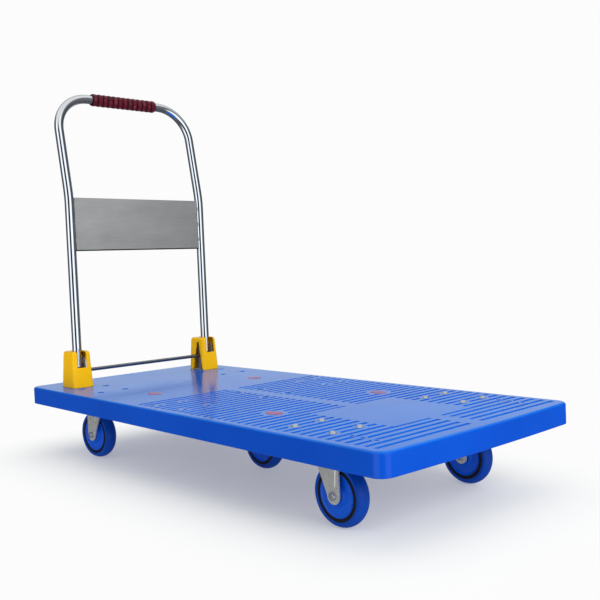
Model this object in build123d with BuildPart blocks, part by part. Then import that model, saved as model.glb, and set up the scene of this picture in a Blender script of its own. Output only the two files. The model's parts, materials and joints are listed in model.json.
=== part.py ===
"""Flatbed platform truck: a moulded deck on five casters with a folding U handle.

Millimetres. X runs along the deck with the handle at -X, Y runs across it, and Z is up from the floor.
The origin is on the floor below the middle of the deck.
"""

import os
from math import radians, tan

from build123d import *

os.makedirs("parts", exist_ok=True)

# Deck
deck_length = 1337.0
deck_width = 600.0
deck_height = 188.0
deck_thickness = 46.0
front_bow = 7.0
corner_radius = 28.0
skirt_wall = 5.0
top_skin = 6.0
rim_fillet, skirt_fillet = 6.0, 1.5
stiffener_thickness = 4.0
stiffener_gap_below = 5.0
stiffener_pitch_x = 88.0
stiffener_pitch_y = 90.0
stiffeners_across, stiffeners_along = 15, 6
groove_pitch = 23.4
groove_width = 10.5
groove_depth = 1.6
first_groove_x = -118.0
groove_count = 33
groove_end_y = 281.0
groove_edge_margin = 14.0
centre_band = 36.0
smooth_x, smooth_length, smooth_width = 420.0, 230.0, 250.0
smooth_bolt_radius, smooth_hole_radius, smooth_badge_radius = 15.0, 9.0, 30.0
badge_x, badge_y = 235.0, 165.0
badge_length, badge_width, badge_depth, badge_proud, badge_gap = 44.0, 30.0, 1.5, 0.5, 0.2
open_hole_radius = 5.0
pad_margin = 4.0
hinge_pad_length, hinge_pad_width = 82.0, 68.0

# Casters
wheel_radius = 63.5
wheel_width = 32.0
tread_shoulder, sidewall_dish = 6.0, 1.0
ring_outer, ring_inner = 51.5, 44.0
ring_recess = 1.2
bearing_radius, bearing_width, bearing_lip = 15.0, 9.0, 3.0
hub_half = 17.5
hub_web_half = 12.0
hub_boss, hub_boss_foot, hub_rim = 4.0, 8.0, 5.0
sleeve_wall = 1.2
mount_height = 154.0
plate_thickness = 4.0
plate_length, plate_width, plate_corner = 128.0, 96.0, 10.0
bolt_spacing_x, bolt_spacing_y = 104.0, 72.0
bolt_radius, bolt_clearance = 4.0, 0.3
head_radius, head_height, head_taper = 8.0, 3.6, 35.0
counterbore_radius, sunk_depth = 9.0, 9.0
nut_radius, nut_height = 7.5, 6.5
thread_end = 1.0
caster_x, caster_y = 432.0, 200.0
trail = 33.0
leg_gap = 40.0
leg_thickness = 3.5
leg_foot_radius = 16.0
leg_heel, leg_heel_drop = 14.0, 6.0
rib_inset, rib_height, rib_taper, rib_foot, rib_head = 6.0, 1.6, 30.0, 18.0, 8.0
crown_bottom, crown_thickness, crown_margin = 134.0, 4.0, 8.0
race_radius, race_half_width, race_drop, race_rise = 26.0, 7.0, 5.0, 2.6
ball_radius, ball_height, ball_count, ball_gap = 3.5, 143.3, 18, 0.1
axle_radius, axle_head_radius, axle_head_height, axle_dome = 5.0, 8.5, 6.5, 3.5
kingpin_radius, kingpin_head_radius, kingpin_head_height = 6.0, 11.0, 7.0
kingpin_room_radius, kingpin_room_height = 14.0, 8.0
running_gap = 0.05
centre_leg_top_half = 34.0

# Handle
handle_x = -538.0
handle_y = 218.0
tube_radius = 12.5
tube_wall = 1.5
pivot_height = 257.0
tube_foot = 242.2
lean_start, lean_degrees = 715.0, 11.0
handle_top = 1002.0
shoulder_radius, lean_radius = 100.0, 250.0
grip_length, grip_radius, grip_ridges = 211.0, 17.6, 13
grip_groove, grip_fit = 3.0, 0.1
panel_bottom, panel_top = 565.0, 713.0
panel_depth, panel_sheet, panel_corner = 13.0, 1.5, 3.0
panel_front_x = handle_x + 5.0

# Hinge and foot release
pin_radius, pin_head_rim, pin_head_height = 4.0, 2.0, 2.0
bracket_length, bracket_width, bracket_corner, bracket_sheet = 67.0, 50.0, 7.0, 3.5
ear_gap = tube_radius + 0.7
ear_half_top, ear_half_foot = 14.0, 22.0
hinge_bolt_offsets = (-33.0, 17.0)
hinge_head_radius, hinge_head_height = 7.0, 5.0
rod_radius, rod_height, rod_half_length, rod_travel = 5.0, 232.0, 237.0, 13.0
rod_slot_gap = 0.6
cover_x, cover_y = -546.0, 216.0
cover_top = 288.0
cover_base_length, cover_base_width, cover_corner = 76.0, 61.0, 10.0
cover_top_length, cover_top_width, cover_shoulder = 65.0, 52.0, 8.0
cover_wall = 3.0
cover_slot_width, cover_slot_gap, cover_slot_length = 27.5, 2.0, 70.0
opening_foot_half, opening_apex_half, opening_drop = 25.0, 5.0, 14.0
spring_y, spring_radius, wire_radius, spring_turns = 195.5, 4.0, 0.8, 7

skirt_bottom = deck_height - deck_thickness
skin_bottom = deck_height - top_skin
deck_back, deck_front = -deck_length / 2, deck_length / 2
swivel_casters = {
    "front_right": (caster_x, -caster_y, 0.0),
    "front_left": (caster_x, caster_y, -3.0),
    "rear_right": (-caster_x, -caster_y, 185.0),
    "rear_left": (-caster_x, caster_y, 180.0),
}
mount_centres = [(x, y) for x, y, _ in swivel_casters.values()] + [(0.0, 0.0)]
swivel_centres = mount_centres[:-1]


def bolt_corners(centres, spacing_x, spacing_y):
    """The four places around each centre of a rectangular hole pattern."""
    return [
        (x + side_x * spacing_x / 2, y + side_y * spacing_y / 2)
        for x, y in centres
        for side_x in (-1, 1)
        for side_y in (-1, 1)
    ]


plate_bolt_places = bolt_corners(mount_centres, bolt_spacing_x, bolt_spacing_y)
proud_bolt_places = [place for place in plate_bolt_places if place[0] > plate_length]
sunk_bolt_places = [place for place in plate_bolt_places if place[0] < plate_length]


def save(builder, name, place=Location()):
    """Move a finished piece to its place, label it and write it to its own STEP file."""
    piece = builder.part.moved(place)
    piece.label = name
    export_step(piece, f"parts/{name}.step")


def deck_outline(inset):
    """The deck's plan: straight sides, a slightly bowed front end and four rounded corners."""
    half_width = deck_width / 2
    with BuildSketch() as outline:
        with BuildLine():
            Polyline(
                (deck_front - front_bow, half_width),
                (deck_back, half_width),
                (deck_back, -half_width),
                (deck_front - front_bow, -half_width),
            )
            ThreePointArc(
                (deck_front - front_bow, -half_width),
                (deck_front, 0),
                (deck_front - front_bow, half_width),
            )
        make_face()
        fillet(outline.vertices(), corner_radius)
        if inset:
            offset(amount=-inset)
    return outline.sketch


# ---------------------------------------------------------------- deck
spare_centres = [(-18.0, 222.0), (-18.0, -222.0)]
spare_hole_places = bolt_corners(spare_centres, 100.0, 64.0)
front_hole_places = [(x, side * 232.0) for x in (529.0, 556.0, 588.0) for side in (-1, 1)]
hinge_bolt_places = [(handle_x + shift, side * handle_y) for shift in hinge_bolt_offsets for side in (-1, 1)]
badge_places = [(sx * badge_x, sy * badge_y) for sx in (-1, 1) for sy in (-1, 1)]
pad_length, pad_width = plate_length + 2 * pad_margin, plate_width + 2 * pad_margin
hinge_pad_places = [(cover_x, side * cover_y) for side in (-1, 1)]

with BuildPart() as deck:
    with BuildSketch(Plane.XY.offset(skirt_bottom)):
        add(deck_outline(0))
    extrude(amount=deck_thickness)
    fillet(deck.faces().sort_by(Axis.Z)[-1].edges(), rim_fillet)
    fillet(deck.faces().sort_by(Axis.Z)[0].edges(), skirt_fillet)
    with BuildSketch(Plane.XY.offset(skirt_bottom)):
        add(deck_outline(skirt_wall))
    extrude(amount=deck_thickness - top_skin, mode=Mode.SUBTRACT)
    with BuildSketch(Plane.XY.offset(skirt_bottom + stiffener_gap_below)):
        with GridLocations(stiffener_pitch_x, 0, stiffeners_across, 1):
            Rectangle(stiffener_thickness, deck_width)
        with GridLocations(0, stiffener_pitch_y, 1, stiffeners_along):
            Rectangle(deck_length, stiffener_thickness)
        with Locations(*mount_centres):
            Rectangle(pad_length, pad_width, mode=Mode.SUBTRACT)
        with Locations(*hinge_pad_places):
            Rectangle(hinge_pad_length - 2, hinge_pad_width - 2, mode=Mode.SUBTRACT)
        add(deck_outline(skirt_wall - 0.5), mode=Mode.INTERSECT)
    extrude(amount=deck_thickness - stiffener_gap_below - top_skin + 1)
    with BuildSketch(Plane.XY.offset(mount_height)):
        with Locations(*mount_centres):
            Rectangle(pad_length + 2, pad_width + 2)
        with Locations(*hinge_pad_places):
            Rectangle(hinge_pad_length, hinge_pad_width)
    extrude(amount=skin_bottom - mount_height + 1)
    groove_half = groove_end_y - centre_band / 2
    groove_middle = (groove_end_y + centre_band / 2) / 2
    groove_mid_x = first_groove_x + (groove_count - 1) * groove_pitch / 2
    with BuildSketch(Plane.XY.offset(deck_height)):
        with Locations((groove_mid_x, groove_middle), (groove_mid_x, -groove_middle)):
            with GridLocations(groove_pitch, 0, groove_count, 1):
                Rectangle(groove_width, groove_half)
        with Locations(*plate_bolt_places, *spare_hole_places):
            Circle(smooth_bolt_radius, mode=Mode.SUBTRACT)
        with Locations(*front_hole_places):
            Circle(smooth_hole_radius, mode=Mode.SUBTRACT)
        with Locations(*badge_places):
            Circle(smooth_badge_radius, mode=Mode.SUBTRACT)
        with Locations((smooth_x, 0)):
            Rectangle(smooth_length, smooth_width, mode=Mode.SUBTRACT)
        add(deck_outline(groove_edge_margin), mode=Mode.INTERSECT)
    extrude(amount=-groove_depth, mode=Mode.SUBTRACT)
    with BuildSketch(Plane.XY.offset(deck_height)):
        with Locations(*badge_places):
            Ellipse(badge_length / 2, badge_width / 2)
    extrude(amount=-badge_depth, mode=Mode.SUBTRACT)
    with BuildSketch(Plane.XY.offset(deck_height)):
        with Locations(*plate_bolt_places, *hinge_bolt_places):
            Circle(bolt_radius + bolt_clearance)
        with Locations(*spare_hole_places, *front_hole_places):
            Circle(open_hole_radius)
    extrude(amount=-deck_thickness, mode=Mode.SUBTRACT)
    with BuildSketch(Plane.XY.offset(deck_height)):
        with Locations(*sunk_bolt_places):
            Circle(counterbore_radius)
    extrude(amount=-sunk_depth, mode=Mode.SUBTRACT)
    with BuildSketch(Plane.XY.offset(mount_height)):
        with Locations(*swivel_centres):
            Circle(kingpin_room_radius)
    extrude(amount=kingpin_room_height, mode=Mode.SUBTRACT)
save(deck, "deck")

with BuildPart() as badges:
    with BuildSketch(Plane.XY.offset(deck_height - badge_depth)):
        with Locations(*badge_places):
            Ellipse(badge_length / 2 - badge_gap, badge_width / 2 - badge_gap)
    extrude(amount=badge_depth + badge_proud)
save(badges, "oval_badges")


# ---------------------------------------------------------------- wheels, each made about its swivel axis
axle_line = Axis((0, 0, wheel_radius), (0, 1, 0))
axle_plane = Plane(origin=(0, 0, wheel_radius), x_dir=(1, 0, 0), z_dir=(0, 1, 0))
section_plane = Plane(origin=(0, 0, wheel_radius), x_dir=(1, 0, 0), z_dir=(0, 0, 1))
half_wheel = wheel_width / 2
half_gap = leg_gap / 2
sleeve_radius = axle_radius + sleeve_wall
bearing_seat = hub_half - bearing_width


def revolve_about_axle(profile, label, place):
    """Turn a closed (radius, offset along the axle) profile into a ring about the axle."""
    with BuildPart() as ring:
        with BuildSketch(section_plane):
            with BuildLine():
                Polyline(*profile, close=True)
            make_face()
        revolve(axis=axle_line)
    save(ring, label, place)


def make_wheel(name, place):
    """A disc hub on two ball bearings, a black rim ring and a crowned tyre."""
    shoulder_at = wheel_radius - tread_shoulder
    side_at = half_wheel - sidewall_dish
    with BuildPart() as tyre:
        with BuildSketch(section_plane):
            with BuildLine():
                Polyline((ring_outer, side_at), (ring_outer, -side_at), (shoulder_at, -half_wheel))
                ThreePointArc((shoulder_at, -half_wheel), (wheel_radius, 0), (shoulder_at, half_wheel))
                Line((shoulder_at, half_wheel), (ring_outer, side_at))
            make_face()
        revolve(axis=axle_line)
    save(tyre, f"{name}_tyre", place)

    ring_half = half_wheel - ring_recess
    ring_corners = ((ring_inner, -1), (ring_outer, -1), (ring_outer, 1), (ring_inner, 1))
    ring_profile = [(radius, side * ring_half) for radius, side in ring_corners]
    revolve_about_axle(ring_profile, f"{name}_rim_ring", place)
    one_side = [
        (bearing_radius - bearing_lip, bearing_seat),
        (bearing_radius, bearing_seat),
        (bearing_radius, hub_half),
        (bearing_radius + hub_boss, hub_half),
        (bearing_radius + hub_boss_foot, hub_web_half),
        (ring_inner - hub_rim, hub_web_half),
        (ring_inner, ring_half),
    ]
    other_side = [(radius, -offset_y) for radius, offset_y in reversed(one_side)]
    revolve_about_axle(one_side + other_side, f"{name}_wheel_hub", place)
    with BuildPart() as bearings:
        for side in (-1, 1):
            with BuildSketch(axle_plane.offset(side * (bearing_seat + bearing_width / 2))):
                Circle(bearing_radius)
                Circle(sleeve_radius + running_gap, mode=Mode.SUBTRACT)
            extrude(amount=bearing_width / 2, both=True)
    save(bearings, f"{name}_wheel_bearings", place)


def make_axle(name, place):
    """A domed axle bolt with its domed nut, clamping a spacer sleeve between the two legs."""
    leg_face = half_gap + leg_thickness
    with BuildPart() as bolt:
        for side in (-1, 1):
            with BuildSketch(axle_plane.offset(side * leg_face)):
                Circle(axle_head_radius)
            extrude(amount=side * axle_head_height)
        fillet(bolt.faces().sort_by(Axis.Y)[0].edges(), axle_dome)
        fillet(bolt.faces().sort_by(Axis.Y)[-1].edges(), axle_dome)
        with BuildSketch(axle_plane):
            Circle(axle_radius)
        extrude(amount=leg_face, both=True)
    save(bolt, f"{name}_axle_bolt", place)
    with BuildPart() as sleeve:
        with BuildSketch(axle_plane):
            Circle(sleeve_radius)
            Circle(axle_radius + running_gap, mode=Mode.SUBTRACT)
        extrude(amount=half_gap, both=True)
    save(sleeve, f"{name}_axle_sleeve", place)


# ---------------------------------------------------------------- swivel casters
plate_underside = mount_height - plate_thickness
crown_top = crown_bottom + crown_thickness


def make_caster_plate(name, place):
    """The bolted top plate, with the upper ball race pressed into it."""
    with BuildPart() as plate:
        with BuildSketch(Plane.XY.offset(plate_underside)):
            RectangleRounded(plate_length, plate_width, plate_corner)
        extrude(amount=plate_thickness)
        with BuildSketch(Plane.XY.offset(plate_underside)):
            Circle(race_radius + race_half_width)
            Circle(race_radius - race_half_width, mode=Mode.SUBTRACT)
        extrude(amount=-race_drop)
        with Locations((0, 0, ball_height)):
            Torus(race_radius, ball_radius + ball_gap, mode=Mode.SUBTRACT)
        with BuildSketch(Plane.XY.offset(mount_height)):
            Circle(kingpin_radius)
            with GridLocations(bolt_spacing_x, bolt_spacing_y, 2, 2):
                Circle(bolt_radius + bolt_clearance)
        extrude(amount=-plate_thickness, mode=Mode.SUBTRACT)
    save(plate, f"{name}_caster_plate", place)


def make_fork(name, place):
    """The pressed fork: a crown with the lower ball race, and two ribbed legs tapered to the axle."""
    heel_x, toe_x = trail - leg_foot_radius, trail + leg_foot_radius
    with BuildSketch() as leg:
        with BuildLine():
            Polyline(
                (heel_x, wheel_radius),
                (-leg_heel, crown_top - leg_heel_drop),
                (-leg_heel, crown_top),
                (toe_x, crown_top),
                (toe_x, wheel_radius),
            )
            foot_bottom = wheel_radius - leg_foot_radius
            ThreePointArc((toe_x, wheel_radius), (trail, foot_bottom), (heel_x, wheel_radius))
        make_face()
    with BuildPart() as fork:
        with BuildSketch(Plane.XY.offset(crown_bottom)):
            Circle(race_radius + crown_margin)
            with Locations(((toe_x - leg_heel) / 2, 0)):
                Rectangle(toe_x + leg_heel, leg_gap + 2 * leg_thickness)
        extrude(amount=crown_thickness)
        with BuildSketch(Plane.XY.offset(crown_top)):
            Circle(race_radius + race_half_width - 1)
            Circle(race_radius - race_half_width + 1, mode=Mode.SUBTRACT)
        extrude(amount=race_rise)
        with Locations((0, 0, ball_height)):
            Torus(race_radius, ball_radius + ball_gap, mode=Mode.SUBTRACT)
        for side in (-1, 1):
            face = Plane(origin=(0, side * half_gap, 0), x_dir=(1, 0, 0), z_dir=(0, -1, 0))
            with BuildSketch(face):
                add(leg.sketch)
            extrude(amount=-side * leg_thickness)
            with BuildSketch(face.offset(-side * leg_thickness)):
                with BuildLine():
                    Polyline(
                        (trail + rib_inset, wheel_radius + rib_foot),
                        (trail - rib_inset, wheel_radius + rib_foot),
                        (rib_inset, crown_top - rib_head),
                        (toe_x - rib_inset, crown_top - rib_head),
                        close=True,
                    )
                make_face()
            extrude(amount=-side * rib_height, taper=rib_taper)
        with BuildSketch(Plane(origin=(trail, 0, wheel_radius), x_dir=(1, 0, 0), z_dir=(0, 1, 0))):
            Circle(axle_radius)
        extrude(amount=leg_gap, both=True, mode=Mode.SUBTRACT)
        with BuildSketch(Plane.XY.offset(crown_bottom)):
            Circle(kingpin_radius + running_gap)
        extrude(amount=crown_thickness + race_rise, mode=Mode.SUBTRACT)
    save(fork, f"{name}_caster_fork", place)


for caster_name, (pivot_x, pivot_y, heading) in swivel_casters.items():
    swivel = Location((pivot_x, pivot_y, 0), (0, 0, heading))
    wheel_place = swivel * Location((trail, 0, 0))
    make_caster_plate(caster_name, Location((pivot_x, pivot_y, 0)))
    make_fork(caster_name, swivel)
    make_axle(caster_name, wheel_place)
    make_wheel(caster_name, wheel_place)

with BuildPart() as balls:
    for pivot_x, pivot_y in swivel_centres:
        with Locations((pivot_x, pivot_y, ball_height)):
            with PolarLocations(race_radius, ball_count):
                Sphere(ball_radius)
save(balls, "swivel_bearing_balls")

with BuildPart() as kingpins:
    head_under = crown_bottom - 4 * running_gap
    kingpin_profile = [
        (0, mount_height + kingpin_head_height),
        (kingpin_head_radius, mount_height + kingpin_head_height),
        (kingpin_head_radius, mount_height),
        (kingpin_radius, mount_height),
        (kingpin_radius, head_under),
        (kingpin_head_radius, head_under),
        (kingpin_head_radius, head_under - kingpin_head_height),
        (0, head_under - kingpin_head_height),
    ]
    for pivot_x, pivot_y in swivel_centres:
        with BuildSketch(Plane(origin=(pivot_x, pivot_y, 0), x_dir=(1, 0, 0), z_dir=(0, -1, 0))):
            with BuildLine():
                Polyline(*kingpin_profile, close=True)
            make_face()
        revolve(axis=Axis((pivot_x, pivot_y, 0), (0, 0, 1)))
save(kingpins, "caster_kingpins")

# ---------------------------------------------------------------- rigid centre caster
make_wheel("centre", Location())
make_axle("centre", Location())
with BuildPart() as centre_bracket:
    with BuildSketch(Plane.XY.offset(plate_underside)):
        RectangleRounded(plate_length, plate_width, plate_corner)
        with GridLocations(bolt_spacing_x, bolt_spacing_y, 2, 2):
            Circle(bolt_radius + bolt_clearance, mode=Mode.SUBTRACT)
    extrude(amount=plate_thickness)
    leg_root = plate_underside + 1
    for side in (-1, 1):
        with BuildSketch(Plane(origin=(0, side * half_gap, 0), x_dir=(1, 0, 0), z_dir=(0, -1, 0))):
            with BuildLine():
                Polyline(
                    (-leg_foot_radius, wheel_radius),
                    (-centre_leg_top_half, leg_root),
                    (centre_leg_top_half, leg_root),
                    (leg_foot_radius, wheel_radius),
                )
                ThreePointArc(
                    (leg_foot_radius, wheel_radius),
                    (0, wheel_radius - leg_foot_radius),
                    (-leg_foot_radius, wheel_radius),
                )
            make_face()
        extrude(amount=-side * leg_thickness)
    with BuildSketch(axle_plane):
        Circle(axle_radius)
    extrude(amount=leg_gap, both=True, mode=Mode.SUBTRACT)
save(centre_bracket, "centre_caster_bracket")

# ---------------------------------------------------------------- caster fasteners
bolt_tip = plate_underside - nut_height - thread_end
with BuildPart() as plate_bolts:
    bolt_seats = ((proud_bolt_places, deck_height), (sunk_bolt_places, deck_height - sunk_depth))
    for places, seat_height in bolt_seats:
        with BuildSketch(Plane.XY.offset(seat_height)):
            with Locations(*places):
                Circle(head_radius)
        extrude(amount=head_height, taper=head_taper)
        with BuildSketch(Plane.XY.offset(seat_height)):
            with Locations(*places):
                Circle(bolt_radius)
        extrude(amount=bolt_tip - seat_height)
save(plate_bolts, "caster_plate_bolts")

with BuildPart() as plate_nuts:
    with BuildSketch(Plane.XY.offset(plate_underside)):
        with Locations(*plate_bolt_places):
            RegularPolygon(nut_radius, 6)
            Circle(bolt_radius, mode=Mode.SUBTRACT)
    extrude(amount=-nut_height)
save(plate_nuts, "caster_plate_nuts")

# ---------------------------------------------------------------- handle
handle_top_x = handle_x - (handle_top - lean_start) * tan(radians(lean_degrees))
with BuildPart() as handle:
    with BuildLine():
        FilletPolyline(
            (handle_x, -handle_y, tube_foot),
            (handle_x, -handle_y, lean_start),
            (handle_top_x, -handle_y, handle_top),
            (handle_top_x, handle_y, handle_top),
            (handle_x, handle_y, lean_start),
            (handle_x, handle_y, tube_foot),
            radius=[lean_radius, shoulder_radius, shoulder_radius, lean_radius],
        )
    with BuildSketch(Plane(origin=(handle_x, -handle_y, tube_foot), z_dir=(0, 0, 1))):
        Circle(tube_radius)
        Circle(tube_radius - tube_wall, mode=Mode.SUBTRACT)
    sweep()
    with BuildSketch(Plane(origin=(handle_x, 0, pivot_height), x_dir=(1, 0, 0), z_dir=(0, 1, 0))):
        Circle(pin_radius + running_gap)
    extrude(amount=handle_y + 2 * tube_radius, both=True, mode=Mode.SUBTRACT)
save(handle, "handle_tube")

panel_half = handle_y - tube_radius
panel_height = panel_top - panel_bottom
panel_middle = (panel_bottom + panel_top) / 2
with BuildPart() as panel:
    front_plane = Plane(origin=(panel_front_x, 0, panel_middle), x_dir=(0, 1, 0), z_dir=(1, 0, 0))
    with BuildSketch(front_plane):
        RectangleRounded(2 * panel_half, panel_height, panel_corner)
    extrude(amount=-panel_depth)
    with BuildSketch(front_plane.offset(-panel_sheet)):
        Rectangle(2 * (panel_half - panel_sheet), panel_height - 2 * panel_sheet)
    extrude(amount=-panel_depth, mode=Mode.SUBTRACT)
save(panel, "handle_panel")

half_grip = grip_length / 2
ridge_pitch = grip_length / grip_ridges
root_radius = grip_radius - grip_groove
ridge_pull = 4 / 3 * grip_radius - root_radius / 3
with BuildPart() as grip:
    with BuildSketch(Plane(origin=(handle_top_x, 0, handle_top), x_dir=(0, 0, 1), z_dir=(-1, 0, 0))):
        with BuildLine():
            bore_radius = tube_radius + grip_fit
            Polyline(
                (root_radius, -half_grip),
                (bore_radius, -half_grip),
                (bore_radius, half_grip),
                (root_radius, half_grip),
            )
            for ridge in range(grip_ridges):
                start = ridge * ridge_pitch - half_grip
                Bezier(
                    (root_radius, start),
                    (ridge_pull, start + 0.1 * ridge_pitch),
                    (ridge_pull, start + 0.9 * ridge_pitch),
                    (root_radius, start + ridge_pitch),
                )
        make_face()
    revolve(axis=Axis((handle_top_x, 0, handle_top), (0, 1, 0)))
save(grip, "grip")

# ---------------------------------------------------------------- hinge
ear_top = pivot_height + ear_half_top
base_top = deck_height + bracket_sheet


def make_hinge_bracket(name, side):
    """A pressed steel bracket: a base plate and two ears that hold the pivot pin and guide the rod."""
    centre_y = side * handle_y
    with BuildPart() as bracket:
        with BuildSketch(Plane.XY.offset(deck_height)):
            with Locations((cover_x, side * cover_y)):
                RectangleRounded(bracket_length, bracket_width, bracket_corner)
        extrude(amount=bracket_sheet)
        for ear_side in (-1, 1):
            inner_y = centre_y + ear_side * ear_gap
            with BuildSketch(Plane(origin=(handle_x, inner_y, 0), x_dir=(1, 0, 0), z_dir=(0, -1, 0))):
                with BuildLine():
                    Polyline(
                        (-ear_half_top, pivot_height),
                        (-ear_half_foot, deck_height),
                        (ear_half_foot, deck_height),
                        (ear_half_top, pivot_height),
                    )
                    ThreePointArc((ear_half_top, pivot_height), (0, ear_top), (-ear_half_top, pivot_height))
                make_face()
                with Locations((0, pivot_height)):
                    Circle(pin_radius, mode=Mode.SUBTRACT)
                with Locations((0, rod_height - rod_travel / 2)):
                    slot_width = 2 * rod_radius + rod_slot_gap
                    SlotOverall(slot_width + rod_travel, slot_width, 90, mode=Mode.SUBTRACT)
            extrude(amount=-ear_side * bracket_sheet)
        with BuildSketch(Plane.XY.offset(base_top)):
            with Locations(*[place for place in hinge_bolt_places if place[1] * side > 0]):
                Circle(bolt_radius + bolt_clearance)
        extrude(amount=-bracket_sheet, mode=Mode.SUBTRACT)
    save(bracket, name)


def tapered_block(side, shrink):
    """The cover's outer shape, or with a shrink the hollow inside it."""
    with BuildPart(mode=Mode.PRIVATE) as body:
        for height, length, width in (
            (deck_height, cover_base_length, cover_base_width),
            (cover_top - shrink, cover_top_length, cover_top_width),
        ):
            with BuildSketch(Plane.XY.offset(height)):
                with Locations((cover_x, side * cover_y)):
                    RectangleRounded(length - 2 * shrink, width - 2 * shrink, cover_corner - shrink)
        loft()
        if not shrink:
            fillet(body.faces().sort_by(Axis.Z)[-1].edges(), cover_shoulder)
    return body.part


def make_hinge_cover(name, side):
    """A tapered plastic cover, slotted for the tube and open on the side that faces the rod."""
    with BuildPart() as cover:
        add(tapered_block(side, 0))
        add(tapered_block(side, cover_wall), mode=Mode.SUBTRACT)
        slot_back = handle_x - tube_radius - cover_slot_gap
        with BuildSketch(Plane.XY.offset(pivot_height - tube_radius - cover_slot_gap)):
            with Locations((slot_back + cover_slot_length / 2, side * handle_y)):
                Rectangle(cover_slot_length, cover_slot_width)
        extrude(amount=cover_top, mode=Mode.SUBTRACT)
        with BuildSketch(Plane(origin=(handle_x, side * spring_y, 0), x_dir=(1, 0, 0), z_dir=(0, -1, 0))):
            with BuildLine() as opening:
                apex = cover_top - opening_drop
                Polyline(
                    (-opening_foot_half, deck_height - 1),
                    (-opening_apex_half, apex),
                    (opening_apex_half, apex),
                    (opening_foot_half, deck_height - 1),
                    close=True,
                )
            make_face()
        extrude(amount=side * cover_base_width / 2, mode=Mode.SUBTRACT)
    save(cover, name)


for hinge_name, hinge_side in (("right", -1), ("left", 1)):
    make_hinge_bracket(f"{hinge_name}_hinge_bracket", hinge_side)
    make_hinge_cover(f"{hinge_name}_hinge_cover", hinge_side)

pin_half = ear_gap + bracket_sheet
with BuildPart() as hinge_pins:
    for side in (-1, 1):
        pin_plane = Plane(origin=(handle_x, side * handle_y, pivot_height), x_dir=(1, 0, 0), z_dir=(0, 1, 0))
        with BuildSketch(pin_plane):
            Circle(pin_radius)
        extrude(amount=pin_half, both=True)
        for end in (-1, 1):
            with BuildSketch(pin_plane.offset(end * pin_half)):
                Circle(pin_radius + pin_head_rim)
            extrude(amount=end * pin_head_height)
save(hinge_pins, "hinge_pins")

with BuildPart() as hinge_bolts:
    with BuildSketch(Plane.XY.offset(base_top)):
        with Locations(*hinge_bolt_places):
            RegularPolygon(hinge_head_radius, 6)
    extrude(amount=hinge_head_height)
    with BuildSketch(Plane.XY.offset(base_top)):
        with Locations(*hinge_bolt_places):
            Circle(bolt_radius)
    extrude(amount=mount_height - nut_height - thread_end - base_top)
save(hinge_bolts, "hinge_bolts")

with BuildPart() as hinge_nuts:
    with BuildSketch(Plane.XY.offset(mount_height)):
        with Locations(*hinge_bolt_places):
            RegularPolygon(nut_radius, 6)
            Circle(bolt_radius, mode=Mode.SUBTRACT)
    extrude(amount=-nut_height)
save(hinge_nuts, "hinge_nuts")

# ---------------------------------------------------------------- foot release
with BuildPart() as release_rod:
    with BuildSketch(Plane(origin=(handle_x, 0, rod_height), x_dir=(1, 0, 0), z_dir=(0, 1, 0))):
        Circle(rod_radius)
    extrude(amount=rod_half_length, both=True)
    chamfer(release_rod.edges().filter_by(GeomType.CIRCLE), 1)
save(release_rod, "release_rod")

wire_gap = 0.1
spring_length = rod_height - rod_radius - base_top - 2 * (wire_radius + wire_gap)
with BuildPart() as springs:
    for side in (-1, 1):
        foot = (handle_x, side * spring_y, base_top + wire_radius + wire_gap)
        with BuildLine() as coil:
            Helix(spring_length / spring_turns, spring_length, spring_radius, center=foot)
        with BuildSketch(Plane(coil.line @ 0, z_dir=coil.line % 0)):
            Circle(wire_radius)
        sweep(path=coil.line)
save(springs, "release_springs")
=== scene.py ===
"""Looks of the flatbed platform truck: procedural materials, welds, release springs, floor, light and camera.

Metres, in the frame of the CAD model: X along the deck away from the handle, Y across it to the left, and
Z up from the floor.
"""
import json
import math

import bpy
from mathutils import Matrix, Vector


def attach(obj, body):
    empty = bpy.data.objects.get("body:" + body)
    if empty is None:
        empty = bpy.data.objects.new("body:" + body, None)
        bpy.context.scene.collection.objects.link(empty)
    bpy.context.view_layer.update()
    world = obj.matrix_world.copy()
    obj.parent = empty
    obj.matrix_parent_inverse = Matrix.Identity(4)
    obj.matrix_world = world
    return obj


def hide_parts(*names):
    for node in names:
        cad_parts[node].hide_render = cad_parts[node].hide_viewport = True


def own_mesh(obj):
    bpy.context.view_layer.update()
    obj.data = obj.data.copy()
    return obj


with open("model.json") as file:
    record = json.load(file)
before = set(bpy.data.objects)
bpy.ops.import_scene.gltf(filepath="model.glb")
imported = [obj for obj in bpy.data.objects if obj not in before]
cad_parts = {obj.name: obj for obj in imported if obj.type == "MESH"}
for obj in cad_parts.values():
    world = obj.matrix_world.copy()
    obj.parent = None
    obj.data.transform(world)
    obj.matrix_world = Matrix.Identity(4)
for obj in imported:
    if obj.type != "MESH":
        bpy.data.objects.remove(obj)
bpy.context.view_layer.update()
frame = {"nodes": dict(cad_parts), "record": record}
nodes = frame["nodes"]

# Sockets of a Mix node set to colours, which Blender tells apart by number only
FIRST_COLOUR, SECOND_COLOUR, MIXED_COLOUR = 6, 7, 2

# ---------------------------------------------------------------- where the materials change
# Painted sheen: from these heights up, the deck's top faces are painted a paler blue
PAINTED_SHEEN_STARTS_Z, PAINTED_SHEEN_FULL_Z = 0.1836, 0.1872
BADGE_CENTRE = (0.235, 0.165, 0.0)
BADGE_HALF_LENGTH, BADGE_HALF_WIDTH = 0.022, 0.015
GRIP_AXIS = (-0.5938, 0.0, 1.002)
GRIP_GROOVE, GRIP_RIDGE = 0.0153, 0.0171
CREST_STARTS, CREST_FULL = 0.0168, 0.0175
FLANGE_SHADE_STARTS_Z, FLANGE_SHADE_FULL_Z = 0.5690, 0.5675
PANEL_SHADE_STARTS_Y, PANEL_SHADE_FULL_Y = -0.05, 0.22


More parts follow.
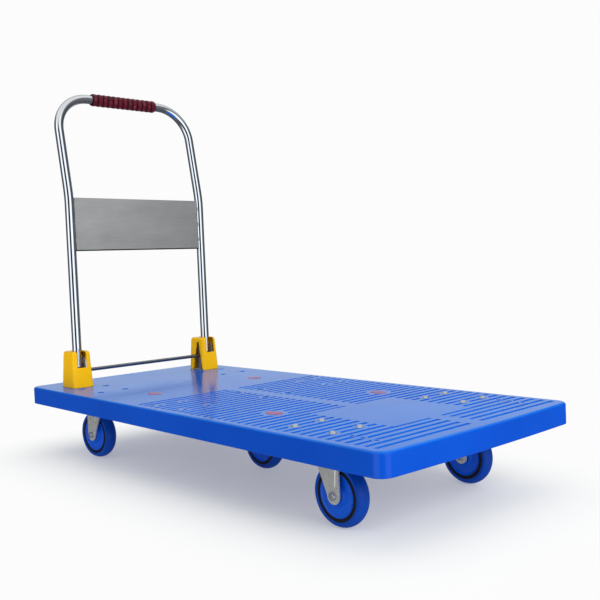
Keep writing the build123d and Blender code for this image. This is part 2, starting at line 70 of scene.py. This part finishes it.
# ---------------------------------------------------------------- nodes
class Nodes:
    """A node tree and the few node calls that the looks below share."""

    def __init__(self, tree):
        self.tree = tree

    def node(self, kind, inputs=None, **settings):
        """Add a node, set its properties, and fill its inputs with links or constants."""
        made = self.tree.nodes.new(kind)
        for key, value in settings.items():
            setattr(made, key, value)
        for key, value in (inputs or {}).items():
            self.fill(made.inputs[key], value)
        return made

    def fill(self, socket, value):
        """Give a socket a link, an (r, g, b) or a constant."""
        if isinstance(value, bpy.types.NodeSocket):
            self.tree.links.new(value, socket)
        elif socket.type == "RGBA" and len(value) == 3:
            socket.default_value = (*value, 1.0)
        else:
            socket.default_value = value

    def span(self, value, low, high, to_low=0.0, to_high=1.0):
        """Map a value from one range to another, held at both ends."""
        inputs = {"Value": value, "From Min": low, "From Max": high, "To Min": to_low, "To Max": to_high}
        return self.node("ShaderNodeMapRange", inputs).outputs["Result"]

    def mix(self, factor, first, second):
        """Mix two colours; each is a link or an (r, g, b)."""
        inputs = {0: factor, FIRST_COLOUR: first, SECOND_COLOUR: second}
        return self.node("ShaderNodeMix", inputs, data_type="RGBA").outputs[MIXED_COLOUR]

    def math(self, operation, first, second=0.0):
        """One arithmetic step on two links or numbers."""
        return self.node("ShaderNodeMath", {0: first, 1: second}, operation=operation).outputs["Value"]

    def product(self, first, second):
        """Two values multiplied."""
        return self.math("MULTIPLY", first, second)

    def vector(self, operation, first, second=(0.0, 0.0, 0.0)):
        """One step on two vectors."""
        return self.node("ShaderNodeVectorMath", {0: first, 1: second}, operation=operation).outputs["Vector"]

    def length(self, vector):
        """How long a vector is."""
        return self.node("ShaderNodeVectorMath", {0: vector}, operation="LENGTH").outputs["Value"]

    def part(self, vector, axis):
        """A vector's X, Y or Z."""
        return self.node("ShaderNodeSeparateXYZ", {0: vector}).outputs[axis]

    def blend(self, factor, first, second):
        """Blend two shader nodes."""
        inputs = {0: factor, 1: first.outputs[0], 2: second.outputs[0]}
        return self.node("ShaderNodeMixShader", inputs)


class Shader(Nodes):
    """A Principled material with its textures."""

    def __init__(self, name):
        self.material = bpy.data.materials.new(name)
        self.material.use_nodes = True
        super().__init__(self.material.node_tree)
        self.tree.nodes.clear()
        self.output = self.tree.nodes.new("ShaderNodeOutputMaterial")
        self.principled = self.tree.nodes.new("ShaderNodeBsdfPrincipled")
        self.tree.links.new(self.principled.outputs["BSDF"], self.output.inputs["Surface"])
        self.place = self.tree.nodes.new("ShaderNodeTexCoord").outputs["Object"]

    def noise(self, scale, detail=3.0, roughness=0.5, stretch=None):
        """Fractal noise from 0 to 1, in features of about 1/scale metres; `stretch` scales it per axis."""
        vector = self.place
        if stretch:
            scaled = self.node("ShaderNodeMapping", {"Vector": self.place, "Scale": stretch})
            vector = scaled.outputs["Vector"]
        inputs = {"Vector": vector, "Scale": scale, "Detail": detail, "Roughness": roughness}
        return self.node("ShaderNodeTexNoise", inputs).outputs["Fac"]

    def drift(self, scale, detail, first, second, start=0.3):
        """A colour that drifts slowly between two."""
        return self.mix(self.span(self.noise(scale, detail), start, 0.7), first, second)

    def bump(self, height, distance, strength=1.0, before=None):
        """A bump from a height in 0 to 1, `distance` metres deep."""
        inputs = {"Height": height, "Distance": distance, "Strength": strength}
        if before:
            inputs["Normal"] = before
        return self.node("ShaderNodeBump", inputs).outputs["Normal"]

    def rounded(self, radius):
        """The normal with every sharp edge eased over `radius` metres."""
        return self.node("ShaderNodeBevel", {"Radius": radius}, samples=6).outputs["Normal"]

    def finish(self, colour, roughness, normal=None, **constants):
        """Join the colour, roughness and normal to the shader, and set its constant sockets."""
        self.fill(self.principled.inputs["Base Color"], colour)
        self.fill(self.principled.inputs["Roughness"], roughness)
        if normal:
            self.fill(self.principled.inputs["Normal"], normal)
        for key, value in constants.items():
            self.principled.inputs[key.replace("_", " ").title().replace("Ior", "IOR")].default_value = value
        return self.material


# ---------------------------------------------------------------- materials
def moulded_plastic(name, base, shade, roughness, grain=900.0, grain_depth=0.00006, scuffs=0.25, edge=0.0006):
    """Moulded plastic: slow colour drift, a fine mould grain and thin scuffs that dull the gloss."""
    s = Shader(name)
    colour = s.drift(7.0, 4.0, base, shade)
    long_scratch = s.span(s.noise(60.0, 6.0, 0.65, (1.0, 9.0, 9.0)), 0.62, 0.70)
    cross_scratch = s.span(s.noise(45.0, 6.0, 0.65, (8.0, 1.0, 8.0)), 0.63, 0.71)
    scratch = s.math("MAXIMUM", long_scratch, cross_scratch)
    colour = s.mix(s.product(scratch, scuffs), colour, tuple(min(1.0, c * 1.15 + 0.05) for c in base))
    smear = s.span(s.noise(18.0, 5.0), 0.25, 0.75, roughness - 0.05, roughness + 0.07)
    gloss = s.math("ADD", smear, s.product(scratch, 0.12))
    normal = s.bump(s.noise(grain, 2.0), grain_depth, 1.0, s.rounded(edge))
    normal = s.bump(scratch, 0.00003, 0.4, normal)
    return s.finish(colour, gloss, normal, specular_ior_level=0.25)


def deck_plastic():
    """The deck's polypropylene: satin, a little wavy from the mould and scuffed on top from loads, with a
    patchy painted sheen that lightens its top faces.
    """
    s = Shader("deck_blue")
    colour = s.drift(3.0, 4.0, (0.0, 0.078, 0.56), (0.0, 0.062, 0.48))
    # Painted sheen: the top faces are painted a paler blue in soft patches, standing in for the reflection of
    # the bright surroundings
    on_top = s.span(s.part(s.place, "Z"), PAINTED_SHEEN_STARTS_Z, PAINTED_SHEEN_FULL_Z)
    dust_and_sheen = s.span(s.noise(4.0, 6.0, 0.6), 0.3, 0.75, 0.55, 1.0)
    colour = s.mix(s.product(on_top, dust_and_sheen), colour, (0.002, 0.165, 0.70))
    along = s.span(s.noise(28.0, 7.0, 0.7, (1.0, 14.0, 6.0)), 0.63, 0.69)
    across = s.span(s.noise(22.0, 7.0, 0.7, (12.0, 1.0, 6.0)), 0.65, 0.71)
    scratch = s.math("MAXIMUM", along, across)
    colour = s.mix(s.product(scratch, 0.12), colour, (0.05, 0.2, 0.72))
    smear = s.span(s.noise(9.0, 6.0, 0.6), 0.25, 0.75, 0.12, 0.20)
    gloss = s.math("ADD", smear, s.product(scratch, 0.10))
    normal = s.bump(s.noise(6.0, 2.0), 0.0012, 0.3, s.rounded(0.0015))
    normal = s.bump(s.noise(1100.0, 2.0), 0.00004, 0.35, normal)
    return s.finish(colour, gloss, normal, specular_ior_level=0.22)


def oval_badge():
    """A red oval with a plain ring around three bars; the four ovals mirror each other about the middle."""
    s = Shader("badge_red")
    local = s.vector("SUBTRACT", s.vector("ABSOLUTE", s.place), BADGE_CENTRE)
    local = s.vector("MULTIPLY", local, (1 / BADGE_HALF_LENGTH, 1 / BADGE_HALF_WIDTH, 0.0))
    inside = s.span(s.length(local), 0.80, 0.74)
    bars = s.span(s.math("SINE", s.product(s.part(local, "Y"), 11.0)), -0.2, 0.2)
    red = s.drift(160.0, 4.0, (0.52, 0.018, 0.016), (0.40, 0.012, 0.012), 0.35)
    colour = s.mix(s.product(inside, bars), red, (0.05, 0.10, 0.42))
    gloss = s.span(s.noise(60.0, 5.0), 0.3, 0.7, 0.22, 0.34)
    return s.finish(colour, gloss, s.bump(s.noise(900.0), 0.00004, 0.5), specular_ior_level=0.3)


def rubbery(name, base, shade, roughness):
    """Thermoplastic rubber: satin, with a fine even grain and a dusty bloom."""
    s = Shader(name)
    dust_and_sheen = s.span(s.noise(24.0, 6.0, 0.6), 0.5, 0.85, 0.0, 0.15)
    colour = s.drift(11.0, 4.0, base, shade)
    colour = s.mix(dust_and_sheen, colour, tuple(min(1.0, c * 0.85 + 0.02) for c in base))
    gloss = s.span(s.noise(30.0, 5.0), 0.3, 0.7, roughness - 0.06, roughness + 0.08)
    return s.finish(colour, gloss, s.bump(s.noise(700.0, 3.0), 0.00008, 0.7), specular_ior_level=0.15)


def plated_steel(name, base, shade, roughness):
    """Zinc plated pressed steel: a cloudy plating with drawing marks and small stains."""
    s = Shader(name)
    cloud = s.noise(55.0, 6.0, 0.6)
    colour = s.mix(s.span(cloud, 0.3, 0.7), base, shade)
    stain = s.span(s.noise(130.0, 4.0, 0.7), 0.66, 0.80, 0.0, 0.3)
    colour = s.mix(stain, colour, tuple(c * 0.55 for c in shade))
    lines = s.noise(320.0, 4.0, 0.6, (1.0, 1.0, 6.0))
    worn = s.math("ADD", cloud, s.product(lines, 0.5))
    gloss = s.span(worn, 0.4, 1.1, roughness - 0.08, roughness + 0.10)
    return s.finish(colour, gloss, s.bump(lines, 0.00006, 0.5), metallic=0.68)


def polished_steel(name, base, roughness):
    """Bright drawn tube: a near mirror with darker edges, faint polishing lines and fingerprints."""
    s = Shader(name)
    lines = s.noise(500.0, 3.0, 0.6, (1.0, 1.0, 0.05))
    prints = s.span(s.noise(14.0, 5.0, 0.6), 0.5, 0.75, 0.0, 0.05)
    gloss = s.math("ADD", s.span(lines, 0.3, 0.7, roughness * 0.7, roughness * 1.4), prints)
    colour = s.drift(9.0, 3.0, base, tuple(c * 0.9 for c in base), 0.35)
    edge_tint = (0.3, 0.3, 0.3, 1.0)
    return s.finish(colour, gloss, s.bump(lines, 0.00001, 0.2), metallic=1.0, specular_tint=edge_tint)


def brushed_sheet():
    """Brushed stainless sheet: fine lines along Y over soft clouds, with painted shade towards the left and a
    painted shadow along its foot.
    """
    s = Shader("panel_steel")
    grain = s.noise(1400.0, 4.0, 0.7, (1.0, 0.012, 1.0))
    coarse = s.noise(260.0, 4.0, 0.6, (1.0, 0.02, 1.0))
    cloud = s.noise(9.0, 5.0, 0.55, (1.0, 0.6, 1.6))
    tone = s.math("ADD", s.product(grain, 0.5), s.product(cloud, 0.5))
    colour = s.mix(s.span(tone, 0.35, 0.65), (0.39, 0.385, 0.365), (0.57, 0.565, 0.54))
    # Painted shade: the sheet is painted darker towards its left edge
    painted_shade_leftward = s.span(s.part(s.place, "Y"), PANEL_SHADE_STARTS_Y, PANEL_SHADE_FULL_Y, 0.0, 0.45)
    colour = s.mix(painted_shade_leftward, colour, (0.24, 0.24, 0.235))
    # Painted shadow: a near black strip along the sheet's foot, where the flange is seen from below
    painted_shadow_at_foot = s.span(s.part(s.place, "Z"), FLANGE_SHADE_STARTS_Z, FLANGE_SHADE_FULL_Z)
    colour = s.mix(painted_shadow_at_foot, colour, (0.02, 0.02, 0.02))
    gloss = s.span(s.math("ADD", grain, coarse), 0.7, 1.3, 0.36, 0.5)
    normal = s.bump(coarse, 0.00003, 0.4, s.bump(grain, 0.00002, 0.6))
    return s.finish(colour, gloss, normal, metallic=0.75, anisotropic=0.6)


def foam_grip():
    """Foam rubber with open pores, dark red on the ridges, with painted shade that turns the grooves black
    and patchy painted highlights along the crests.
    """
    s = Shader("grip_maroon")
    from_bar = s.vector("MULTIPLY", s.vector("SUBTRACT", s.place, GRIP_AXIS), (1.0, 0.0, 1.0))
    radius = s.length(from_bar)
    red = s.drift(45.0, 5.0, (0.115, 0.006, 0.020), (0.070, 0.003, 0.010), 0.35)
    # Painted shade: the grooves, nearer the bar's axis, are painted near black
    colour = s.mix(s.span(radius, GRIP_GROOVE, GRIP_RIDGE), (0.006, 0.001, 0.002), red)
    # Painted highlight: paler pink patches along the ridge crests
    painted_highlight_patches = s.span(s.noise(90.0, 6.0, 0.7, (1.0, 0.5, 1.0)), 0.50, 0.72, 0.0, 0.6)
    crest = s.span(radius, CREST_STARTS, CREST_FULL)
    colour = s.mix(s.product(painted_highlight_patches, crest), colour, (0.30, 0.07, 0.10))
    gloss = s.span(s.noise(70.0, 4.0), 0.3, 0.7, 0.34, 0.5)
    return s.finish(colour, gloss, s.bump(s.noise(1600.0, 3.0), 0.00012, 0.8), specular_ior_level=0.2)


finishes = {
    "deck_blue": deck_plastic(),
    "badge_red": oval_badge(),
    "tyre_blue": rubbery("tyre_blue", (0.001, 0.062, 0.42), (0.001, 0.045, 0.34), 0.3),
    "hub_blue": moulded_plastic(
        "hub_blue", (0.0, 0.095, 0.66), (0.0, 0.078, 0.56), 0.28, grain=700.0, grain_depth=0.00008, scuffs=0.1
    ),
    "ring_black": rubbery("ring_black", (0.006, 0.006, 0.012), (0.012, 0.012, 0.018), 0.42),
    "caster_zinc": plated_steel("caster_zinc", (0.92, 0.92, 0.87), (0.80, 0.80, 0.75), 0.26),
    "fastener_zinc": plated_steel("fastener_zinc", (0.50, 0.53, 0.56), (0.40, 0.43, 0.46), 0.15),
    "bearing_steel": polished_steel("bearing_steel", (0.6, 0.6, 0.6), 0.18),
    "bracket_steel": plated_steel("bracket_steel", (0.58, 0.58, 0.57), (0.42, 0.42, 0.41), 0.35),
    "spring_steel": polished_steel("spring_steel", (0.62, 0.62, 0.62), 0.2),
    "handle_chrome": polished_steel("handle_chrome", (0.80, 0.82, 0.84), 0.045),
    "rod_chrome": polished_steel("rod_chrome", (0.26, 0.27, 0.29), 0.2),
    "panel_steel": brushed_sheet(),
    "grip_maroon": foam_grip(),
    "cover_yellow": moulded_plastic("cover_yellow", (1.0, 0.55, 0.0), (0.94, 0.49, 0.0), 0.22, edge=0.004),
}

slot_of = {part["node"]: part["material_slot"] for part in frame["record"]["subparts"]}
for node_name, cad_object in nodes.items():
    cad_object.data.materials.clear()
    cad_object.data.materials.append(finishes[slot_of[node_name]])


def mesh_object(name, points, faces, material, smooth=True):
    """An object made of these points and faces, in one material."""
    mesh = bpy.data.meshes.new(name)
    mesh.from_pydata(points, [], faces)
    for polygon in mesh.polygons:
        polygon.use_smooth = smooth
    mesh.materials.append(material)
    made = bpy.data.objects.new(name, mesh)
    bpy.context.collection.objects.link(made)
    return made


# ---------------------------------------------------------------- welds
PANEL_HALF, PANEL_FACE_X, BEAD_OUTSET = 0.2055, -0.5325, 0.0025
BEAD_LENGTH, BEAD_RADIUS, BEAD_RIPPLE = 0.014, 0.0022, 0.12
BEAD_RINGS, BEAD_SIDES = 15, 10
BEAD_FEET_Z = (("low", 0.588), ("middle", 0.634), ("high", 0.680))


def weld_bead(name, foot):
    """A short vertical weld between the panel's edge and the tube, rippled like laid metal."""
    points, faces = [], []
    for ring in range(BEAD_RINGS):
        along = ring / (BEAD_RINGS - 1)
        swell = BEAD_RADIUS * (0.25 + 0.75 * math.sin(math.pi * along) ** 0.4)
        swell *= 1.0 + BEAD_RIPPLE * math.cos(ring * math.pi)
        for side in range(BEAD_SIDES):
            turn = 2 * math.pi * side / BEAD_SIDES
            x, y = foot[0] + swell * math.cos(turn), foot[1] + swell * math.sin(turn)
            points.append((x, y, foot[2] + BEAD_LENGTH * along))
    for ring in range(BEAD_RINGS - 1):
        for side in range(BEAD_SIDES):
            low, after = ring * BEAD_SIDES, (side + 1) % BEAD_SIDES
            faces.append((low + side, low + after, low + BEAD_SIDES + after, low + BEAD_SIDES + side))
    faces.append(tuple(reversed(range(BEAD_SIDES))))
    faces.append(tuple(range((BEAD_RINGS - 1) * BEAD_SIDES, BEAD_RINGS * BEAD_SIDES)))
    bead = mesh_object(name, points, faces, finishes["fastener_zinc"])
    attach(bead, "handle")


for side_name, side in (("right", -1), ("left", 1)):
    for level_name, level in BEAD_FEET_Z:
        weld_bead(f"{side_name}_{level_name}_weld", (PANEL_FACE_X, side * (PANEL_HALF + BEAD_OUTSET), level))


# ---------------------------------------------------------------- springs
SPRING_X, SPRING_Y = -0.538, 0.1955
SPRING_FOOT, SPRING_TOP, ROD_TRAVEL, ROD_CLEARANCE = 0.1916, 0.2269, 0.013, 0.0002
COIL_RADIUS, WIRE_RADIUS, TURNS = 0.004, 0.0008, 7
STEPS_PER_TURN, WIRE_SIDES = 28, 8


def release_springs():
    """The two coil springs under the rod, as one mesh."""
    points, faces = [], []
    low, rise = SPRING_FOOT + WIRE_RADIUS, SPRING_TOP - SPRING_FOOT - 2 * WIRE_RADIUS
    steps = TURNS * STEPS_PER_TURN
    for side in (-1, 1):
        start = len(points)
        for step in range(steps + 1):
            turn = 2 * math.pi * step / STEPS_PER_TURN
            height = low + rise * step / steps
            for edge in range(WIRE_SIDES):
                around = 2 * math.pi * edge / WIRE_SIDES
                out = COIL_RADIUS + WIRE_RADIUS * math.cos(around)
                x, y = SPRING_X + out * math.cos(turn), side * SPRING_Y + out * math.sin(turn)
                points.append((x, y, height + WIRE_RADIUS * math.sin(around)))
        for step in range(steps):
            for edge in range(WIRE_SIDES):
                here, after = start + step * WIRE_SIDES, (edge + 1) % WIRE_SIDES
                there = here + WIRE_SIDES
                faces.append((here + edge, there + edge, there + after, here + after))
        faces.append(tuple(start + edge for edge in range(WIRE_SIDES)))
        faces.append(tuple(start + steps * WIRE_SIDES + edge for edge in reversed(range(WIRE_SIDES))))
    coils = mesh_object("release_coils", points, faces, finishes["spring_steel"])
    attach(coils, "deck_frame")
    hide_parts("release_springs")
    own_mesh(coils)


release_springs()


# ---------------------------------------------------------------- studio
BACKGROUND = (0.975, 0.975, 0.975)
FORWARD = (-0.738, 0.675, 0.0)
FLOOR_HALF = 60.0
SHADOW_HALF_LENGTH, SHADOW_HALF_WIDTH, SHADOW_FADE, SHADOW_FILL = 0.56, 0.20, 0.34, 0.30
# Place and brightness of what reflections see, from behind the camera (0) to behind the truck (1)
REFLECTED_BANDS = (
    (0.0, 0.02), (0.02, 0.02), (0.05, 1.35), (0.23, 1.45),
    (0.29, 0.20), (0.56, 0.12), (0.90, 0.03), (0.95, 0.6),
)
BAND_TINT = (0.92, 0.98, 1.06)
BACKDROP_COLOUR = (0.62, 0.72, 0.84)
OVERHEAD_COLOUR = (0.9, 0.9, 0.9)
UNDERNEATH_COLOUR = (0.10, 0.10, 0.11)
HORIZON_GLOW, ZENITH_GLOW = 1.1, 0.72
KEY_PLACE, KEY_TARGET, KEY_SIZE, KEY_POWER = (2.8, -0.5, 1.5), (0.4, 0.0, 0.15), (1.8, 1.4), 48.0
CAMERA_PLACE = (1.5509, -1.2795, 0.4992)
CAMERA_AZIMUTH, CAMERA_ELEVATION, CAMERA_ROLL = 47.58, 2.41, -2.35
CAMERA_SENSOR, CAMERA_LENS, CAMERA_REACH = 36.0, 48.85, 200.0


def make_floor():
    """A white floor that catches the shadow near the truck and melts into the background further out."""
    s = Shader("floor_white")
    tone = s.drift(0.6, 3.0, (0.925, 0.955, 0.93), (0.945, 0.975, 0.95))
    s.finish(tone, 0.6, specular_ior_level=0.1)
    inner = (SHADOW_HALF_LENGTH, SHADOW_HALF_WIDTH, 0.0)
    outside = s.vector("MAXIMUM", s.vector("SUBTRACT", s.vector("ABSOLUTE", s.place), inner))
    inputs = {"Value": s.length(outside), "From Min": 0.0, "From Max": SHADOW_FADE, "To Min": SHADOW_FILL}
    fade = s.node("ShaderNodeMapRange", inputs, interpolation_type="SMOOTHSTEP").outputs["Result"]
    plain = s.node("ShaderNodeEmission", {"Color": BACKGROUND})
    s.tree.links.new(s.blend(fade, s.principled, plain).outputs["Shader"], s.output.inputs["Surface"])
    corners = [(x * FLOOR_HALF, y * FLOOR_HALF, 0) for x, y in ((-1, -1), (1, -1), (1, 1), (-1, 1))]
    floor = mesh_object("floor", corners, [(0, 1, 2, 3)], s.material, smooth=False)
    floor.visible_glossy = False


def make_world():
    """White studio air; reflections see softboxes with black flags between them instead."""
    world = bpy.data.worlds.new("studio")
    bpy.context.scene.world = world
    world.use_nodes = True
    s = Nodes(world.node_tree)
    s.tree.nodes.clear()
    direction = s.node("ShaderNodeTexCoord").outputs["Generated"]
    level = s.vector("NORMALIZE", s.vector("MULTIPLY", direction, (1.0, 1.0, 0.0)))
    facing = s.node("ShaderNodeVectorMath", {0: level, 1: FORWARD}, operation="DOT_PRODUCT").outputs["Value"]
    bands = s.node("ShaderNodeValToRGB", {"Fac": s.span(facing, -1.0, 1.0)})
    elements = bands.color_ramp.elements
    while len(elements) < len(REFLECTED_BANDS):
        elements.new(0.5)
    for element, (position, value) in zip(elements, REFLECTED_BANDS):
        element.position = position
        element.color = (*(value * tint for tint in BAND_TINT), 1.0)
    elements[len(REFLECTED_BANDS) - 1].color = (*BACKDROP_COLOUR, 1.0)
    height = s.part(direction, "Z")
    seen = s.mix(s.span(height, 0.45, 0.75), bands.outputs["Color"], OVERHEAD_COLOUR)
    seen = s.mix(s.span(height, -0.25, -0.6), seen, UNDERNEATH_COLOUR)
    flags = s.node("ShaderNodeBackground", {"Color": seen})
    glow = s.span(s.math("ABSOLUTE", height), 0.0, 0.6, HORIZON_GLOW, ZENITH_GLOW)
    lit = s.node("ShaderNodeBackground", {"Color": BACKGROUND, "Strength": glow})
    air = s.node("ShaderNodeBackground", {"Color": BACKGROUND})
    path = s.node("ShaderNodeLightPath").outputs
    blended = s.blend(path["Is Glossy Ray"], s.blend(path["Is Camera Ray"], lit, air), flags)
    s.tree.links.new(blended.outputs["Shader"], s.node("ShaderNodeOutputWorld").inputs["Surface"])


def make_key_light():
    """One large softbox beyond the front end, which no reflection shows."""
    data = bpy.data.lights.new("key", "AREA")
    data.shape = "RECTANGLE"
    data.size, data.size_y = KEY_SIZE
    data.energy = KEY_POWER
    light = bpy.data.objects.new("key", data)
    bpy.context.collection.objects.link(light)
    light.location = KEY_PLACE
    light.visible_glossy = False
    light.rotation_euler = (Vector(KEY_TARGET) - Vector(KEY_PLACE)).to_track_quat("-Z", "Y").to_euler()


def make_camera():
    """A low view from off the front right corner, with the horizon tipped a little."""
    azimuth, elevation, roll = map(math.radians, (CAMERA_AZIMUTH, CAMERA_ELEVATION, CAMERA_ROLL))
    level, rise = math.cos(elevation), math.sin(elevation)
    back = Vector((math.sin(azimuth) * level, -math.cos(azimuth) * level, rise))
    right = Vector((math.cos(azimuth), math.sin(azimuth), 0.0))
    up = back.cross(right)
    tipped_right = right * math.cos(roll) + up * math.sin(roll)
    tipped_up = up * math.cos(roll) - right * math.sin(roll)
    data = bpy.data.cameras.new("camera")
    data.sensor_width = CAMERA_SENSOR
    data.lens = CAMERA_LENS
    data.clip_end = CAMERA_REACH
    camera = bpy.data.objects.new("camera", data)
    bpy.context.collection.objects.link(camera)
    turn = Matrix((tipped_right, tipped_up, back)).transposed().to_4x4()
    camera.matrix_world = Matrix.Translation(CAMERA_PLACE) @ turn
    bpy.context.scene.camera = camera


make_floor()
make_world()
make_key_light()
make_camera()
bpy.context.scene.view_settings.view_transform = "Standard"
